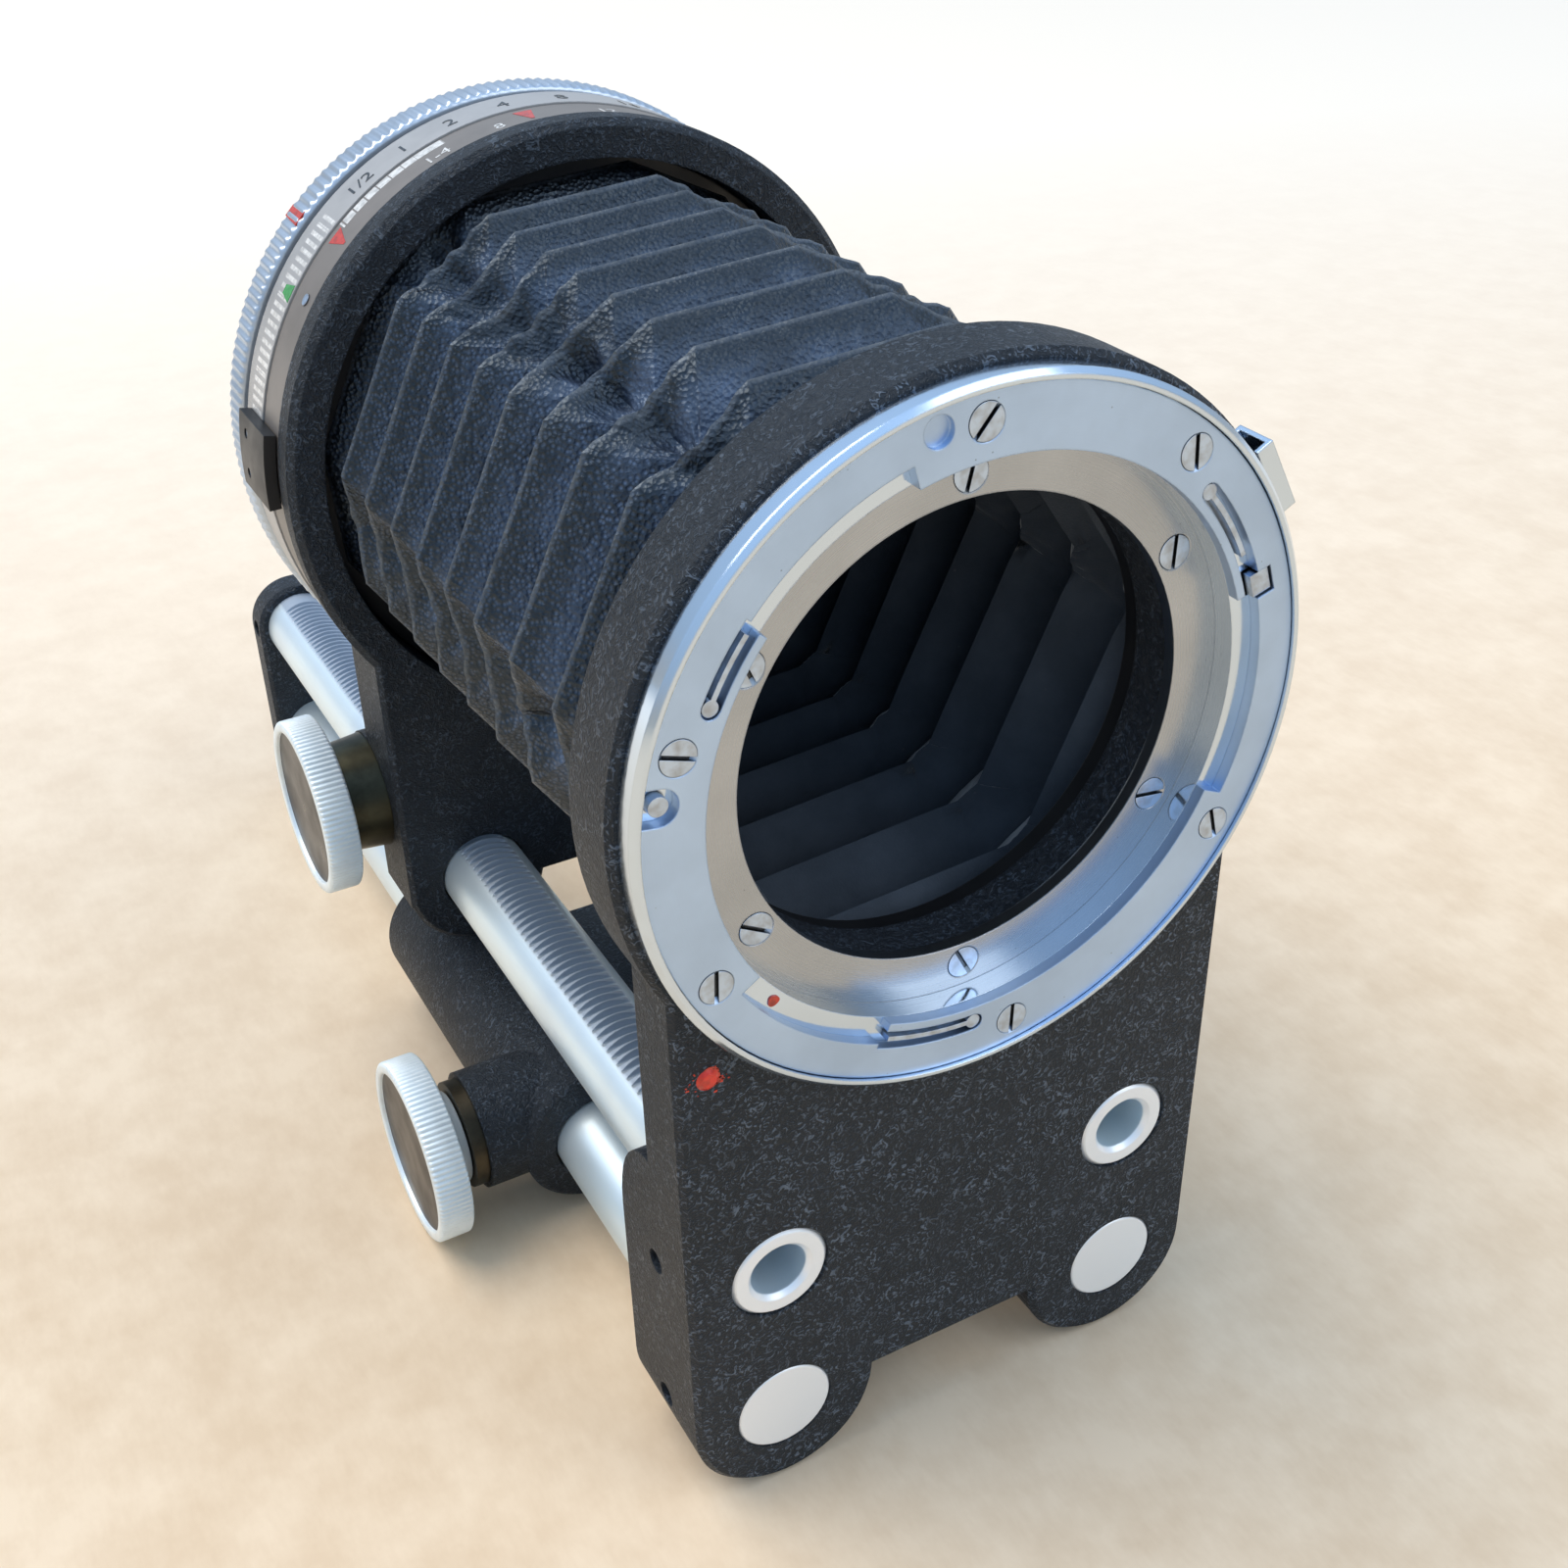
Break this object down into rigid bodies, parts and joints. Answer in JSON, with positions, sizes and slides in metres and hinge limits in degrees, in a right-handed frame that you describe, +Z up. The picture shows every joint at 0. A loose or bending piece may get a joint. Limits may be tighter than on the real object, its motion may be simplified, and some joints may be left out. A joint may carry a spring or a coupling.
{
  "type": "macro bellows extension unit",
  "caption": "Bellows extension unit with a fixed front bayonet plate, a rack-driven rear focusing mount, guide rods and a clamping tripod carriage.",
  "frame": {"origin": "on the optical axis, at the seat of the front mount on the front plate's face", "axes": "+Y along the optical axis from the front mount to the rear mount, +Z up, X across the unit; it stands on the front plate's feet and the end plate"},
  "size_m": [0.0971, 0.2017, 0.1461],
  "materials": {
    "black_enamel": "fine crackle enamel",
    "black_anodised": "satin black anodised",
    "bright_chrome": "polished",
    "satin_chrome": "circular brushed",
    "satin_aluminium": "satin drawn",
    "screw_steel": "turned",
    "spring_steel": "bright",
    "bushing_brass": "turned",
    "collar_brass": "darkened",
    "bellows_cloth": "grained",
    "taupe_ring": "satin",
    "silver_ring": "satin",
    "dark_cap": "satin",
    "red_paint": "gloss"
  },
  "bodies": {
    "frame": {"front_plate": "black_enamel", "mount_rim": "bright_chrome", "bayonet_ring": "satin_chrome", "bayonet_springs": "spring_steel", "face_screws": "screw_steel", "throat_ring": "satin_chrome", "throat_screws": "screw_steel", "index_pin": "screw_steel", "index_bead": "red_paint", "socket_screws": "black_anodised", "rack_rod": "satin_aluminium", "upper_rod": "satin_aluminium", "lower_rods": "satin_aluminium", "end_plate": "black_enamel", "bellows_front_frame": "black_anodised", "bellows": "bellows_cloth", "catch_spring": "spring_steel"},
    "release": {"release_lever": "bright_chrome", "catch_block": "spring_steel"},
    "standard": {"rear_standard": "black_enamel", "rod_bushings": "bushing_brass", "bellows_rear_frame": "black_anodised", "rear_frame_screws": "screw_steel", "index_ring": "taupe_ring", "index_rivet": "screw_steel", "keeper_ring": "black_anodised", "keeper_screws": "screw_steel", "shaft_bush": "collar_brass", "lock_nut": "bushing_brass"},
    "drive": {"drive_knob": "bright_chrome", "drive_knob_cap": "dark_cap", "pinion_shaft": "screw_steel", "pinion": "bushing_brass"},
    "standard_lock": {"lock_knob": "bright_chrome", "lock_knob_cap": "dark_cap", "lock_screw": "screw_steel"},
    "focus_ring": {"distance_ring": "silver_ring", "focus_tab": "black_anodised", "tab_screws": "screw_steel"},
    "focus_mount": {"focus_barrel": "black_anodised", "barrel_keys": "screw_steel", "rear_flange": "satin_chrome", "rear_flange_screws": "screw_steel"},
    "mount_lock": {"locking_ring": "satin_chrome"},
    "carriage": {"carriage": "black_enamel", "carriage_bushings": "bushing_brass", "tripod_bush": "screw_steel", "clamp_bush": "bushing_brass", "clamp_pad": "bushing_brass"},
    "clamp": {"clamp_knob": "bright_chrome", "clamp_knob_cap": "dark_cap", "clamp_screw": "screw_steel"}
  },
  "joints": [
    {"name": "standard_slide", "type": "slide", "parent": "frame", "child": "standard", "axis": [0, 1, 0], "range_m": [-0.06, 0.07], "deforming": ["bellows"]},
    {"name": "drive_turn", "type": "hinge", "parent": "standard", "child": "drive", "pos_m": [-0.044, 0.1082, -0.0523], "axis": [-1, 0, 0], "range_deg": [-529, 618]},
    {"name": "standard_lock_turn", "type": "hinge", "parent": "standard", "child": "standard_lock", "pos_m": [0.041, 0.1015, -0.0648], "axis": [1, 0, 0], "range_deg": [0, 120]},
    {"name": "focus_turn", "type": "hinge", "parent": "standard", "child": "focus_ring", "pos_m": [0, 0.112, 0], "axis": [0, 1, 0], "range_deg": [0, 160]},
    {"name": "focus_slide", "type": "slide", "parent": "standard", "child": "focus_mount", "axis": [0, 1, 0], "range_m": [0, 0.008]},
    {"name": "mount_lock_turn", "type": "hinge", "parent": "focus_mount", "child": "mount_lock", "pos_m": [0, 0.1205, 0], "axis": [0, 1, 0], "range_deg": [0, 40]},
    {"name": "carriage_slide", "type": "slide", "parent": "frame", "child": "carriage", "axis": [0, 1, 0], "range_m": [-0.037, 0.07]},
    {"name": "clamp_turn", "type": "hinge", "parent": "carriage", "child": "clamp", "pos_m": [-0.046, 0.0655, -0.0868], "axis": [-1, 0, 0], "range_deg": [0, 120]},
    {"name": "release_slide", "type": "slide", "parent": "frame", "child": "release", "axis": [0, 1, 0], "range_m": [0, 0.0024], "stiffness_N_per_m": 300, "springref_m": -0.001, "deforming": ["catch_spring"]}
  ],
  "couplings": [
    {"joint": "drive_turn", "follows": "standard_slide", "rad_per_m": 153.85},
    {"joint": "focus_slide", "follows": "focus_turn", "m_per_rad": 0.002864}
  ]
}
